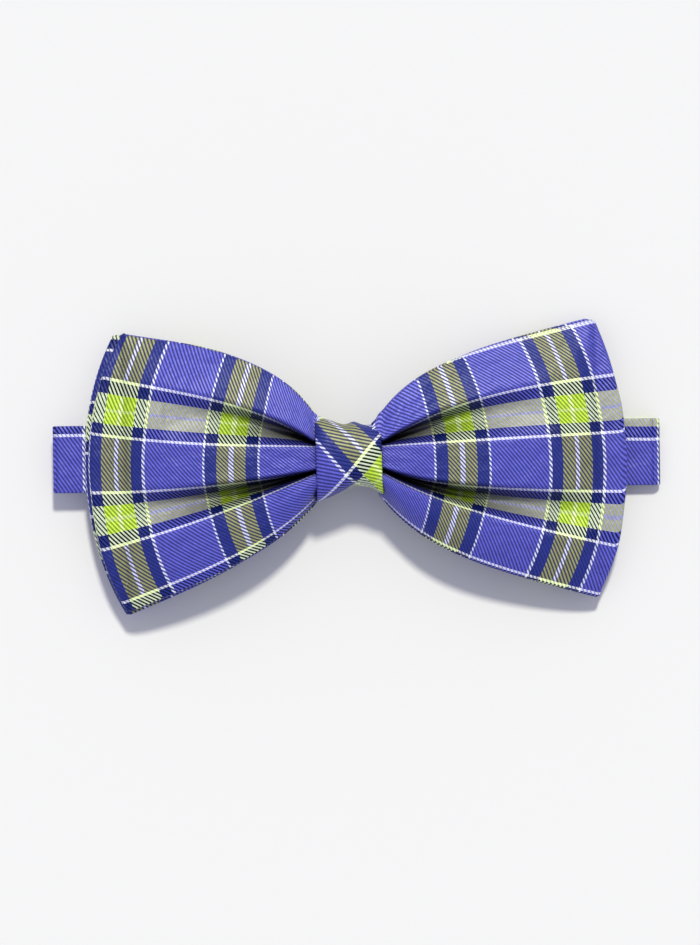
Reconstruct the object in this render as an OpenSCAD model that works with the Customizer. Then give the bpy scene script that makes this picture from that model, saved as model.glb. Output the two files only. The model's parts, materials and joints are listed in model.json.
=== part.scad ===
// Ready-tied bow tie on a hook-and-eye neckband, lying on its back.
// X runs along the band, Y across the bow, Z out of its front. Millimetres.

/* [Bow] */
// Reach of the left wing from the knot's centre
left_wing = 58.0; // [50:0.5:64]
// Reach of the right wing from the knot's centre
right_wing = 62.1; // [50:0.5:64]
// How far a wing's end bulges beyond its corners
end_bulge = 6.8; // [2:0.1:9]
// Half height of the pinched waist
waist_half = 7.7; // [6:0.1:7.8]
// Half length of the pinched waist
waist_run = 7.7; // [6:0.1:9]
// Depth of the two pleats where the knot holds them
pleat_depth = 4.55; // [1:0.05:4.55]
// Thickness of the front strip: two cloths and the interlining
front_ply = 0.8; // [0.6:0.05:0.8]
// Thickness of the rear strip
rear_ply = 0.6; // [0.4:0.05:0.6]
// Turn of the bow against the band, in degrees
bow_turn = 0.7; // [-2:0.1:2]

/* [Knot] */
// Width of the knot along the band
knot_w = 14.8; // [12:0.1:15]
// Height of the knot across the band
knot_h = 19.6; // [19.2:0.1:24]
// Thickness of the knot's cloth
knot_ply = 0.75; // [0.4:0.05:1]
// Place of the knot along the band
knot_x = -1.8; // [-6:0.1:6]
// Place of the knot across the band
knot_y = 2.1; // [-1:0.1:4]

/* [Neckband] */
// Distance between the two outermost folds of the stowed band
stowed_w = 136; // [130:1:150]
// Width of the band
band_w = 15; // [12:0.5:15]
// Thickness of one ply of band
band_ply = 0.6; // [0.4:0.05:0.6]
// Middle of the band across the bow
band_y = 2.4; // [0:0.1:3]

/* [Metal] */
// Length of the bar that the hook and the eye hang from
bar_len = 18.4; // [17:0.2:20]
// Diameter of the hook's and the eye's bar
bar_d = 1.0; // [0.8:0.05:1.05]
// Diameter of the slide's middle bar
slide_bar_d = 0.8; // [0.6:0.05:0.85]

/* [Hidden] */

$fn = 48;
cloth = 0.2;                 // one thickness of cloth
hem = 0.8;                   // turned edge beside the interlining
slack = 0.02;                // play of an interlining in its cover
band_space = band_ply - 2 * cloth;

// Heights of the band's plies, from the surface that it lies on
tail_z = band_ply / 2;
run_4_z = 2.45;
run_3_z = 3.65;
run_2_z = 4.35;
run_1_z = 5.05;
centre_z = 5.75;

// Places of the folds along X
half = stowed_w / 2;
fold_1_x = -half + (centre_z - run_1_z) / 2 + band_ply / 2;
fold_2_x = -17;
fold_3_x = -62;
fold_4_x = -13;
hook_x = -52;
slide_x = -21;
slide_end_x = -33;           // where the slide's loop meets the tail ply
run_4_end_x = -15;           // where the straight ply that slides begins
hook_end_x = -49;            // where it ends at the hook's loop
right_top_z = 3.0;           // upper ply at the right fold
right_fold_x = half - (right_top_z - tail_z) / 2 - band_ply / 2;
eye_x = 24;
eye_top_z = 2.05;            // upper ply of the loop round the eye's bar

// ---------- the band: flat plies, folds and loops ----------

// A flat ribbon that follows points [x, z] at half its thickness
module ribbon(points, thick, wide) {
    upper = [for (p = points) [p.x, p.y + thick / 2]];
    lower = [for (i = [len(points) - 1:-1:0]) [points[i].x, points[i].y - thick / 2]];
    translate([0, band_y, 0]) rotate([90, 0, 0])
        linear_extrude(wide, center = true) polygon(concat(upper, lower));
}

// The points with both ends carried on by a step
function carried_on(points, step) =
    let (n = len(points), way = sign(points[n - 1].x - points[0].x))
    concat([[points[0].x - way * step, points[0].y]], points,
        [[points[n - 1].x + way * step, points[n - 1].y]]);

// Cloth skin of a flat ply, open at its two ends
module ply_cover(points) {
    difference() {
        ribbon(points, band_ply, band_w);
        ribbon(carried_on(points, 1), band_space, band_w - 2 * hem);
    }
}

// Interlining that fills the skin
module ply_lining(points) {
    ribbon(points, band_space - slack, band_w - 2 * hem - slack);
}

// Half ring that joins the plies at heights z_a and z_b; side is -1 for a fold to the left
module half_fold(x, z_a, z_b, side) {
    middle = abs(z_a - z_b) / 2;
    translate([x, band_y, (z_a + z_b) / 2]) rotate([90, 0, 0])
        linear_extrude(band_w, center = true) difference() {
            circle(middle + band_ply / 2);
            circle(middle - band_ply / 2);
            translate([side > 0 ? -5 : 0, -5]) square([5, 10]);
        }
}

// A row of short slanted stitches across the band on a face at height z
module tack(x, z) {
    for (i = [-4:4])
        translate([x, band_y + i * 1.4, z + 0.075]) rotate([0, 0, 35])
            cube([2.2, 0.4, 0.15], center = true);
}

centre_path = [[fold_1_x, centre_z], [8, centre_z], [60, right_top_z], [right_fold_x, right_top_z]];
run_1_path = [[fold_1_x, run_1_z], [fold_2_x, run_1_z]];
run_2_path = [[fold_3_x, run_2_z], [fold_2_x, run_2_z]];
run_3_path = [[fold_3_x, run_3_z], [fold_4_x, run_3_z]];
stub_z = tail_z + band_ply + 0.02;
slide_bar_z = 1.05;
return_path = [[eye_x, eye_top_z], [eye_x + 3.5, eye_top_z], [eye_x + 8, stub_z],
    [eye_x + 18, stub_z], [eye_x + 22, tail_z], [right_fold_x, tail_z]];

module band_centre_cover() color("slateblue") ply_cover(centre_path);
module band_centre_interlining() color("ivory") ply_lining(centre_path);
module left_fold_1() color("slateblue") half_fold(fold_1_x, centre_z, run_1_z, -1);
module left_run_1_cover() color("slateblue") ply_cover(run_1_path);
module left_run_1_interlining() color("ivory") ply_lining(run_1_path);
module left_fold_2() color("slateblue") half_fold(fold_2_x, run_1_z, run_2_z, 1);
module left_run_2_cover() color("slateblue") ply_cover(run_2_path);
module left_run_2_interlining() color("ivory") ply_lining(run_2_path);
module left_fold_3() color("slateblue") half_fold(fold_3_x, run_2_z, run_3_z, -1);
module left_run_3_cover() color("slateblue") ply_cover(run_3_path);
module left_run_3_interlining() color("ivory") ply_lining(run_3_path);
module left_fold_4() color("slateblue") half_fold(fold_4_x, run_3_z, run_4_z, 1);
module left_run_4_end() color("slateblue")
    ribbon([[run_4_end_x, run_4_z], [fold_4_x, run_4_z]], band_ply, band_w);
module slide_ply() color("slateblue")
    ribbon([[hook_end_x, run_4_z], [run_4_end_x, run_4_z]], band_ply, band_w);

module hook_end_loop() color("slateblue") {
    half_fold(hook_x, run_4_z, tail_z, -1);
    ribbon([[hook_x, run_4_z], [hook_end_x, run_4_z]], band_ply, band_w);
    ribbon([[hook_x, tail_z], [hook_end_x, tail_z]], band_ply, band_w);
}

module tail_ply() color("slateblue")
    ribbon([[hook_end_x, tail_z], [slide_end_x, tail_z]], band_ply, band_w);

module slide_loop() color("slateblue") {
    top_z = 2 * slide_bar_z - tail_z;
    half_fold(slide_x, top_z, tail_z, 1);
    ribbon([[slide_end_x, tail_z], [slide_x, tail_z]], band_ply, band_w);
    ribbon([[slide_end_x, stub_z], [slide_x - 4.5, stub_z], [slide_x - 2, top_z],
        [slide_x, top_z]], band_ply, band_w);
}

module slide_stitches() color("royalblue") tack(slide_x - 8, stub_z + band_ply / 2);

module right_fold() color("slateblue") half_fold(right_fold_x, right_top_z, tail_z, 1);
module right_return_cover() color("slateblue") ply_cover(return_path);
module right_return_interlining() color("ivory") ply_lining(return_path);

module eye_loop() color("slateblue") {
    half_fold(eye_x, eye_top_z, tail_z, -1);
    ribbon([[eye_x, tail_z], [eye_x + 12, tail_z]], band_ply, band_w);
}

module eye_stitches() color("royalblue") tack(eye_x + 10, stub_z + band_ply / 2);

// ---------- the metal ----------

arm = 1.2;                   // width of the arms beside the band
arm_y = bar_len / 2 - arm / 2;
sheet = 0.7;                 // thickness of the hook's and the eye's metal

// A round bar across the band
module bar(x, z, d) {
    translate([x, band_y, z]) rotate([90, 0, 0]) cylinder(h = bar_len, d = d, center = true);
}

// A flat plate from x_a to x_b, between two heights, centred on the band
module plate(x_a, x_b, wide, z_a, z_b) {
    translate([min(x_a, x_b), band_y - wide / 2, z_a])
        cube([abs(x_b - x_a), wide, z_b - z_a]);
}

// The two arms beside the band
module arms(x_a, x_b, z_a, z_b) {
    for (side = [-1, 1])
        translate([min(x_a, x_b), band_y + side * arm_y - arm / 2, z_a])
            cube([abs(x_b - x_a), arm, z_b - z_a]);
}

module slide() color("silver") {
    bar(slide_x, slide_bar_z, slide_bar_d);
    arms(slide_x - 5, slide_x + 5, slide_bar_z - slide_bar_d / 2, 3.3);
    for (side = [-1, 1])
        plate(slide_x + side * 5, slide_x + side * 3.4, bar_len, 2.8, 3.3);
}

hook_bar_z = (run_4_z + tail_z) / 2;
tongue_z = 0.9;
tongue_w = 9;
tongue_bend = 0.7;           // radius of the tongue's bend at half its thickness

module hook() color("silver") {
    bar(hook_x, hook_bar_z, bar_d);
    arms(hook_x - 5.5, hook_x + bar_d / 2, tongue_z - sheet / 2, hook_bar_z + bar_d / 2);
    plate(hook_x - 5.5, hook_x - 3.6, bar_len, tongue_z - sheet / 2, tongue_z + sheet / 2);
    plate(hook_x - 10, hook_x - 5.5, tongue_w, tongue_z - sheet / 2, tongue_z + sheet / 2);
    translate([hook_x - 10, band_y, tongue_z + tongue_bend]) rotate([90, 0, 0])
        linear_extrude(tongue_w, center = true) difference() {
            circle(tongue_bend + sheet / 2);
            circle(tongue_bend - sheet / 2);
            translate([0, -5]) square([5, 10]);
        }
    plate(hook_x - 10, hook_x - 6.5, tongue_w, tongue_z + 2 * tongue_bend - sheet / 2,
        tongue_z + 2 * tongue_bend + sheet / 2);
}

eye_bar_z = (eye_top_z + tail_z) / 2;
eye_slot_w = 12;
eye_slot_l = 5;
eye_z = 1.1;

module eye() color("silver") {
    low = eye_z - sheet / 2;
    high = eye_z + sheet / 2;
    bar(eye_x, eye_bar_z, bar_d);
    arms(eye_x - 4.5, eye_x + bar_d / 2, low, eye_bar_z + bar_d / 2);
    plate(eye_x - 4.5, eye_x - 3, bar_len, low, high);
    difference() {
        plate(eye_x - 11, eye_x - 4.5, eye_slot_w + 3, low, high);
        plate(eye_x - 4.5 - eye_slot_l, eye_x - 4.5, eye_slot_w, low - 1, high + 1);
    }
}

// ---------- the knot ----------

knot_top = 16.6;
knot_bottom = 4.2;
lining = 0.35;               // thickness of the knot's interlining
gap = 0.05;

// A rectangle with round corners between two heights, centred across the bow
module round_box(wide, z_a, z_b, r) {
    for (turn = [0, 1])
        translate([-wide / 2 + turn * r, z_a + (1 - turn) * r])
            square([wide - 2 * turn * r, z_b - z_a - 2 * (1 - turn) * r]);
    for (side = [-1, 1], z = [z_a + r, z_b - r])
        translate([side * (wide / 2 - r), z]) circle(r);
}

// A wrap of the given thickness round the waist
module wrap(long, wide, z_a, z_b, thick, r) {
    rotate([90, 0, 90]) linear_extrude(long, center = true) difference() {
        round_box(wide, z_a, z_b, r);
        round_box(wide - 2 * thick, z_a + thick, z_b - thick, r - thick);
    }
}

// Places a piece at the knot, turned with the bow
module at_knot() {
    translate([knot_x, knot_y, 0]) rotate([0, 0, bow_turn]) children();
}

module knot_cover() color("slateblue") at_knot()
    wrap(knot_w, knot_h, knot_bottom, knot_top, knot_ply, 1.6);

module knot_interlining() color("ivory") at_knot()
    wrap(knot_w - 1, knot_h - 2 * (knot_ply + gap), knot_bottom + knot_ply + gap,
        knot_top - knot_ply - gap, lining, 0.8);

module waist_thread() color("white") at_knot() wrap(4, 16.8, 6.1, 15.3, 0.3, 0.7);

module knot_back_stitches() color("royalblue") at_knot()
    for (i = [-2:2])
        translate([i * 2.6, 0, knot_bottom - 0.1]) rotate([0, 0, 60])
            cube([2.6, 0.4, 0.2], center = true);

// ---------- the bow: two strips, each folded into a flat loop ----------

function beyond(d) = max(0, d - waist_run);
function settle(q, over) = 1 - exp(-q / over);

// Height of a wing's upper and lower edge at distance d from the knot, on the left or right
function top_edge(d, side) = let (q = beyond(d))
    waist_half + 2.3 * settle(q, 0.6) + 9.0 * settle(q, side < 0 ? 7.2 : 9) + 0.225 * q;
function bottom_edge(d, side) = let (q = beyond(d))
    waist_half + 2.3 * settle(q, 0.6) + (side < 0 ? 8.1 : 10) * settle(q, 10.5)
    + (side < 0 ? 0.36 : 0.27) * q;

// Three lobes across the strip, 1 at their crests and 0 in the pleats and at the edges
function lobes(v) = abs(cos(270 * v));

// Share of the way from the knot to the wing's end
function along(d, side) = beyond(d) / ((side < 0 ? left_wing : right_wing) - waist_run);

// Height of the surface between the two strips: level on the left, falling to the right
function between(d, v, side) = 8.65 - (side < 0 ? 0.15 : 2.75) * along(d, side)
    - 2.4 * v * v * along(d, side);

// Pleat depth of the front strip's two plies at distance q beyond the knot
function front_swell(q) = pleat_depth * exp(-q / 14) + q / 2 * exp(1 - q / 6);
function back_swell(q) = pleat_depth * exp(-q / 5);

// Half-thickness heights of the upper and the lower ply of a strip
function front_heights(d, v, side) = let (q = beyond(d), rest = between(d, v, side) + 0.05)
    [rest + front_ply / 2 + back_swell(q) * lobes(v),
     rest + 1.5 * front_ply + 0.1 + 0.5 * along(d, side) + front_swell(q) * lobes(v)];
function rear_heights(d, v, side) = let (q = beyond(d), fall = 0.75 * exp(-q / 6) * (1 - lobes(v)),
        rest = between(d, v, side) - 0.1 - fall)
    [rest - 1.5 * rear_ply - 0.1 - 0.5 * along(d, side), rest - rear_ply / 2];
function heights(front, d, v, side) =
    front ? front_heights(d, v, side) : rear_heights(d, v, side);

// A station of the loop is [side, distance from the knot, turn]; the turn is 0 on the back
// ply, 180 on the front ply and between them round the end fold
function reach(front, side) = (side < 0 ? left_wing : right_wing)
    + (front ? -1.1 : side < 0 ? 0.4 : -0.5);
function steps(front, side) = [for (f = front ? [0, 0.025, 0.07, 0.13, 0.22, 0.34, 0.5, 0.68, 0.86, 1]
        : [0, 0.04, 0.12, 0.25, 0.45, 0.7, 1]) waist_run + f * (reach(front, side) - waist_run)];
function leg(front, side, turn) = concat([[side, turn == 0 ? 0.15 : 0, turn]],
    [for (d = steps(front, side)) [side, d, turn]]);
function backwards(list) = [for (i = [len(list) - 1:-1:0]) list[i]];
function end_fold(front, side) = [for (turn = [45, 90, 135]) [side, reach(front, side), turn]];
function loop_stations(front) =
    let (right = concat(leg(front, 1, 0), end_fold(front, 1), backwards(leg(front, 1, 180))),
        left = concat(leg(front, -1, 0), end_fold(front, -1), backwards(leg(front, -1, 180))))
    concat(right, [for (i = [1:len(left) - 1]) backwards(left)[i]]);

// A point of the strip at station s and place v across it, moved outwards by h
function strip_point(front, s, v, h) =
    let (bulge = end_bulge * settle(beyond(s[1]), 16), d = s[1] - bulge * v * v,
        z = heights(front, d, v, s[0]), radius = (z[1] - z[0]) / 2,
        turn = s[2], rim = turn > 0 && turn < 180,
        out = [s[0] * sin(turn), -cos(turn)],
        middle = rim ? (z[0] + z[1]) / 2 - radius * cos(turn) : turn == 0 ? z[0] : z[1],
        edge = v > 0 ? top_edge(d, s[0]) : bottom_edge(d, s[0]))
    [s[0] * (d + (rim ? radius * sin(turn) : 0)) + h * out[0], v * edge, middle + h * out[1]];

// One closed ring across the strip: its outer face and back along its inner face
function strip_ring(front, s, cells, h, inset) =
    let (rim = 1 - inset, places = [for (i = [0:cells]) max(-rim, min(rim, 2 * i / cells - 1))])
    concat([for (v = places) strip_point(front, s, v, h)],
        [for (v = backwards(places)) strip_point(front, s, v, -h)]);

// Triangles between ring a and ring b of n points each
function band_faces(a, b, n, flip) = [for (i = [0:n - 1]) let (j = (i + 1) % n)
    each flip ? [[a + i, b + j, a + j], [a + i, b + i, b + j]]
        : [[a + i, a + j, b + j], [a + i, b + j, b + i]]];

// Triangles that close a ring's end, between its outer and its inner face
function cap_faces(a, cells, flip) = [for (i = [0:cells - 1])
    let (n = 2 * cells + 1, p = a + i, q = a + i + 1, r = a + n - i - 1, t = a + n - i)
    each flip ? [[p, r, q], [p, t, r]] : [[p, q, r], [p, r, t]]];

// The strip as a hollow sleeve, open at the two ends that meet behind the knot
module strip_cover(front, cells, thick) {
    path = loop_stations(front);
    count = len(path);
    n = 2 * (cells + 1);
    points = concat([for (s = path) each strip_ring(front, s, cells, thick / 2, 0)],
        [for (s = path) each strip_ring(front, s, cells, thick / 2 - cloth, 0.03)]);
    inner = count * n;
    polyhedron(points, concat(
        [for (k = [0:count - 2]) each band_faces(k * n, (k + 1) * n, n, false)],
        [for (k = [0:count - 2]) each band_faces(inner + k * n, inner + (k + 1) * n, n, true)],
        band_faces(0, inner, n, true),
        band_faces((count - 1) * n, inner + (count - 1) * n, n, false)));
}

// The interlining inside it
module strip_lining(front, cells, thick) {
    path = loop_stations(front);
    count = len(path);
    n = 2 * (cells + 1);
    points = [for (s = path) each strip_ring(front, s, cells, thick / 2 - cloth - slack, 0.035)];
    polyhedron(points, concat(
        [for (k = [0:count - 2]) each band_faces(k * n, (k + 1) * n, n, false)],
        cap_faces(0, cells, true),
        cap_faces((count - 1) * n, cells, false)));
}

rear_turn = 0.5;             // extra turn of the rear strip, which shows it past the front one

module front_bow_cover() color("slateblue") at_knot() strip_cover(true, 12, front_ply);
module front_bow_interlining() color("ivory") at_knot() strip_lining(true, 12, front_ply);
module rear_bow_cover() color("darkslateblue") at_knot() rotate([0, 0, rear_turn])
    strip_cover(false, 6, rear_ply);
module rear_bow_interlining() color("ivory") at_knot() rotate([0, 0, rear_turn])
    strip_lining(false, 6, rear_ply);

front_bow_cover();
front_bow_interlining();
rear_bow_cover();
rear_bow_interlining();
waist_thread();
knot_cover();
knot_interlining();
knot_back_stitches();
band_centre_cover();
band_centre_interlining();
left_fold_1();
left_run_1_cover();
left_run_1_interlining();
left_fold_2();
left_run_2_cover();
left_run_2_interlining();
left_fold_3();
left_run_3_cover();
left_run_3_interlining();
left_fold_4();
left_run_4_end();
slide_ply();
hook_end_loop();
hook();
tail_ply();
slide_loop();
slide_stitches();
slide();
right_fold();
right_return_cover();
right_return_interlining();
eye_loop();
eye_stitches();
eye();
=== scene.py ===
"""Ready-tied bow tie of yarn-dyed plaid twill, lying on its back. Lengths inside the functions are millimetres,
in the frame's own axes; a mesh is turned to metres when it is made."""
import json
import math

import bpy
import numpy as np
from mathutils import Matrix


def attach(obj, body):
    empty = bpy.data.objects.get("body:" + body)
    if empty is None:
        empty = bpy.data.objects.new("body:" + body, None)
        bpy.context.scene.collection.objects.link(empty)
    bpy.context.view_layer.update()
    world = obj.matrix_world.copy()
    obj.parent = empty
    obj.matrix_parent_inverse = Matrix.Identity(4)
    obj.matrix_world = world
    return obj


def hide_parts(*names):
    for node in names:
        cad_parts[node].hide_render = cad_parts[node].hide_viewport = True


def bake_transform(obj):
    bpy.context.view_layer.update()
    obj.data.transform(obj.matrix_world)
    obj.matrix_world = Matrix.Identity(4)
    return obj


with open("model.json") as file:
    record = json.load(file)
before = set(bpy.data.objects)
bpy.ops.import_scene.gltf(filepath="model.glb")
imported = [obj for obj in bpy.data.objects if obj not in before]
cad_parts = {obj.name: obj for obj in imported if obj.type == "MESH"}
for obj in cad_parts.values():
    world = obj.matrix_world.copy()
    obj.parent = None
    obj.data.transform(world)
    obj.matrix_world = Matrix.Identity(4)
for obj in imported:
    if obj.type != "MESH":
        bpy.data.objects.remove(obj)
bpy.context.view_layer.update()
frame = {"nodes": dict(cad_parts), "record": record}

MM = 0.001

# ---------- sizes and places, in millimetres ----------

KNOT = (-1.8, 2.1)           # the knot's centre
BOW_TURN = math.radians(0.7)
REAR_TURN = math.radians(0.5)
LEFT_WING, RIGHT_WING = 58.0, 62.1
STRIP_PLY = 0.8              # the front strip: two cloths and the interlining
REAR_PLY = 0.6
BAND_PLY = 0.6
BAND_W = 15.0
BAND_Y = 2.4
THREAD, FINE_THREAD = 0.16, 0.11    # half a thread's thickness, as the waist's and the band's stitches show it
CLOTH_WALL = 0.22            # one cloth of a bow strip
BAND_WALL = 0.21
LINING, BAND_LINING = 0.12, 0.14

# The plaid's repeat, from the middle of its lime stripe outwards
REPEAT = 25.7
WHITE_CORE = 0.45
LIME_EDGE = 3.25
NAVY_EDGE = 5.81
WHITE_EDGE = 6.4
WARP = 0.2225                # distance between neighbouring lengthways yarns
WEFT = 0.3275                # distance between neighbouring crossways yarns
ACROSS = 0.94                # the repeat is a little shorter across the strip


# ---------- meshes ----------

def grid_faces(rows, columns, wrap_rows=False, wrap_columns=False):
    """Quads between neighbouring points of a rows by columns grid, wrapped round where asked."""
    r = np.arange(rows if wrap_rows else rows - 1)
    c = np.arange(columns if wrap_columns else columns - 1)
    r, c = (a.ravel() for a in np.meshgrid(r, c, indexing="ij"))
    r1, c1 = (r + 1) % rows, (c + 1) % columns
    return np.stack([r * columns + c, r * columns + c1, r1 * columns + c1, r1 * columns + c], 1)


def piece_from(name, points, faces, cloth, material, smooth=True):
    """A mesh object from points in mm and quads. Each point's place in the cloth becomes a UV map in mm."""
    points = np.asarray(points, float).reshape(-1, 3)
    faces = np.asarray(faces)
    mesh = bpy.data.meshes.new(name)
    mesh.vertices.add(len(points))
    mesh.vertices.foreach_set("co", (points * MM).astype(np.float32).ravel())
    mesh.loops.add(faces.size)
    mesh.loops.foreach_set("vertex_index", faces.ravel().astype(np.int32))
    mesh.polygons.add(len(faces))
    mesh.polygons.foreach_set("loop_start", np.arange(len(faces), dtype=np.int32) * faces.shape[1])
    mesh.polygons.foreach_set("loop_total", np.full(len(faces), faces.shape[1], dtype=np.int32))
    mesh.update(calc_edges=True)
    mesh.validate()
    if cloth is not None:
        cloth = np.asarray(cloth, float).reshape(-1, 2)
        uv = mesh.uv_layers.new(name="cloth")
        uv.data.foreach_set("uv", cloth[faces.ravel()].astype(np.float32).ravel())
    if smooth:
        mesh.polygons.foreach_set("use_smooth", np.ones(len(faces), dtype=bool))
    obj = bpy.data.objects.new(name + "_made" if name in frame["nodes"] else name, mesh)
    bpy.context.scene.collection.objects.link(obj)
    mesh.materials.append(material)
    return obj


def stand_in(piece):
    """The piece stands for the node it is named after: that node is hidden."""
    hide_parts(piece.name.removesuffix("_made"))


def turned_at_knot(points, turn):
    """Points about the knot's centre, turned about Z and carried to the knot."""
    c, s = math.cos(turn), math.sin(turn)
    out = np.array(points, float)
    x, y = out[..., 0].copy(), out[..., 1].copy()
    out[..., 0] = KNOT[0] + x * c - y * s
    out[..., 1] = KNOT[1] + x * s + y * c
    return out


def surface_normals(points, closed=False):
    """Unit normals of a grid of points: the cross product of its differences along and across."""
    if closed:
        along = np.roll(points, -1, axis=0) - np.roll(points, 1, axis=0)
    else:
        along = np.gradient(points, axis=0)
    across = np.gradient(points, axis=1)
    n = np.cross(across, along)
    return n / np.maximum(np.linalg.norm(n, axis=-1, keepdims=True), 1e-9)


def skin(top, cloth, normal, drop, half, narrow):
    """The closed cross-section of a ply at every row: a flat tube of half thickness half, whose middle lies
    drop below the grid top, whose long edges are half circles and are drawn in by narrow."""
    middle = top - normal * drop
    steps = []
    for column, neighbour in ((-1, -2), (0, 1)):
        step = middle[:, column] - middle[:, neighbour]
        steps.append(step / np.maximum(np.linalg.norm(step, axis=-1, keepdims=True), 1e-9))
    middle = middle.copy()
    middle[:, -1] -= steps[0] * narrow
    middle[:, 0] -= steps[1] * narrow
    turn = np.radians([30, 90, 150])
    rims = []
    for column, side, step in ((-1, 1, steps[0]), (0, -1, steps[1])):
        out = step[:, None, :] * np.sin(turn)[None, :, None]
        up = normal[:, column][:, None, :] * (side * np.cos(turn))[None, :, None]
        rims.append(middle[:, column][:, None, :] + (out + up) * half)
    upper, lower = middle + normal * half, (middle - normal * half)[:, ::-1]
    points = np.concatenate([upper, rims[0], lower, rims[1]], axis=1)
    where = np.concatenate([cloth, np.repeat(cloth[:, -1:], 3, axis=1), cloth[:, ::-1],
                            np.repeat(cloth[:, :1], 3, axis=1)], axis=1)
    return points, where


def volume(points, faces):
    """Signed volume inside a closed mesh of quads."""
    p = points[faces]
    return sum(np.einsum("ij,ij->i", p[:, 0], np.cross(p[:, i], p[:, i + 1])).sum() for i in (1, 2)) / 6


def thick_strip(name, top, cloth, thick, material, closed=False, wall=0.0):
    """A strip of cloth whose outer face is the grid top and whose cloth lies thick behind it. With a wall it is
    a flat tube, hollow for its interlining. A strip that isn't a closed loop has ends: a cap, or a rim round
    the hollow."""
    normal = surface_normals(top, closed)
    points, where = skin(top, cloth, normal, thick / 2, thick / 2, 0.0)
    rows, columns = points.shape[:2]
    outer = grid_faces(rows, columns, wrap_rows=closed, wrap_columns=True)
    points, where = points.reshape(-1, 3), where.reshape(-1, 2)
    last = (rows - 1) * columns
    if closed:
        if volume(points, outer) < 0:
            outer = outer[:, ::-1]
        faces = outer
        if wall:
            r = np.arange(0, top.shape[0], 2)
            c = np.unique(np.append(np.arange(0, top.shape[1], 2), top.shape[1] - 1))
            inside, in_where = skin(top[r][:, c], cloth[r][:, c], normal[r][:, c], thick / 2,
                                    thick / 2 - wall, wall)
            inner = grid_faces(inside.shape[0], inside.shape[1], wrap_rows=True, wrap_columns=True)
            if volume(inside.reshape(-1, 3), inner) > 0:
                inner = inner[:, ::-1]
            faces = np.concatenate([outer, inner + len(points)])
            points = np.concatenate([points, inside.reshape(-1, 3)])
            where = np.concatenate([where, in_where.reshape(-1, 2)])
        return piece_from(name, points, faces, where, material)
    if wall:
        inside, in_where = skin(top, cloth, normal, thick / 2, thick / 2 - wall, wall)
        c = np.arange(columns)
        c1, base = (c + 1) % columns, len(points)
        first_rim = np.stack([c1, c, c + base, c1 + base], 1)
        last_rim = np.stack([c, c1, c1 + base, c + base], 1) + last
        faces = np.concatenate([outer, outer[:, ::-1] + base, first_rim, last_rim])
        points = np.concatenate([points, inside.reshape(-1, 3)])
        where = np.concatenate([where, in_where.reshape(-1, 2)])
    else:
        c = np.arange(columns // 2 - 1)
        cap = np.stack([c + 1, c, columns - 1 - c, columns - 2 - c], 1)
        faces = np.concatenate([outer, cap, cap[:, ::-1] + last])
    if volume(points, faces) < 0:
        faces = faces[:, ::-1]
    return piece_from(name, points, faces, where, material)


def tube(path, radius, closed=False, sides=8):
    """A round thread or wire along a path of points in mm."""
    path = np.asarray(path, float)
    if closed:
        tangent = np.roll(path, -1, axis=0) - np.roll(path, 1, axis=0)
    else:
        tangent = np.gradient(path, axis=0)
    tangent /= np.linalg.norm(tangent, axis=1, keepdims=True)
    up = np.where(np.abs(tangent[:, 2:]) > 0.9, [[0, 1.0, 0]], [[0, 0, 1.0]])
    side = np.cross(tangent, up)
    side /= np.linalg.norm(side, axis=1, keepdims=True)
    up = np.cross(side, tangent)
    angle = np.linspace(0, 2 * math.pi, sides, endpoint=False)
    ring = side[:, None] * np.cos(angle)[None, :, None] + up[:, None] * np.sin(angle)[None, :, None]
    points = (path[:, None] + ring * radius).reshape(-1, 3)
    faces = grid_faces(len(path), sides, wrap_rows=closed, wrap_columns=True)
    if not closed:
        c = np.arange(sides // 2 - 1)
        cap = np.stack([c + 1, c, sides - 1 - c, sides - 2 - c], 1)
        faces = np.concatenate([faces, cap, cap[:, ::-1] + (len(path) - 1) * sides])
    if volume(points, faces) < 0:
        faces = faces[:, ::-1]
    return points, faces


def joined(name, parts, material):
    """One object from several (points, faces) meshes."""
    points, faces, base = [], [], 0
    for p, f in parts:
        points.append(p)
        faces.append(f + base)
        base += len(p)
    return piece_from(name, np.concatenate(points), np.concatenate(faces), None, material)


# ---------- the bow's shape ----------

W_PLAID = 65.6               # width of the strip, counted in the plaid's own measure
PLEAT_UP = (0.0, 12.6)       # the plaid's lines at the upper pleat's two lips
PLEAT_LOW = (-13.1, -25.7)   # the same of the lower pleat


def beyond(d):
    """Distance past the waist that the knot holds."""
    return np.maximum(0, d - 7.7)


def settle(q, over):
    """Rises from 0 at the waist to 1 far from it."""
    return 1 - np.exp(-q / over)


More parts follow.
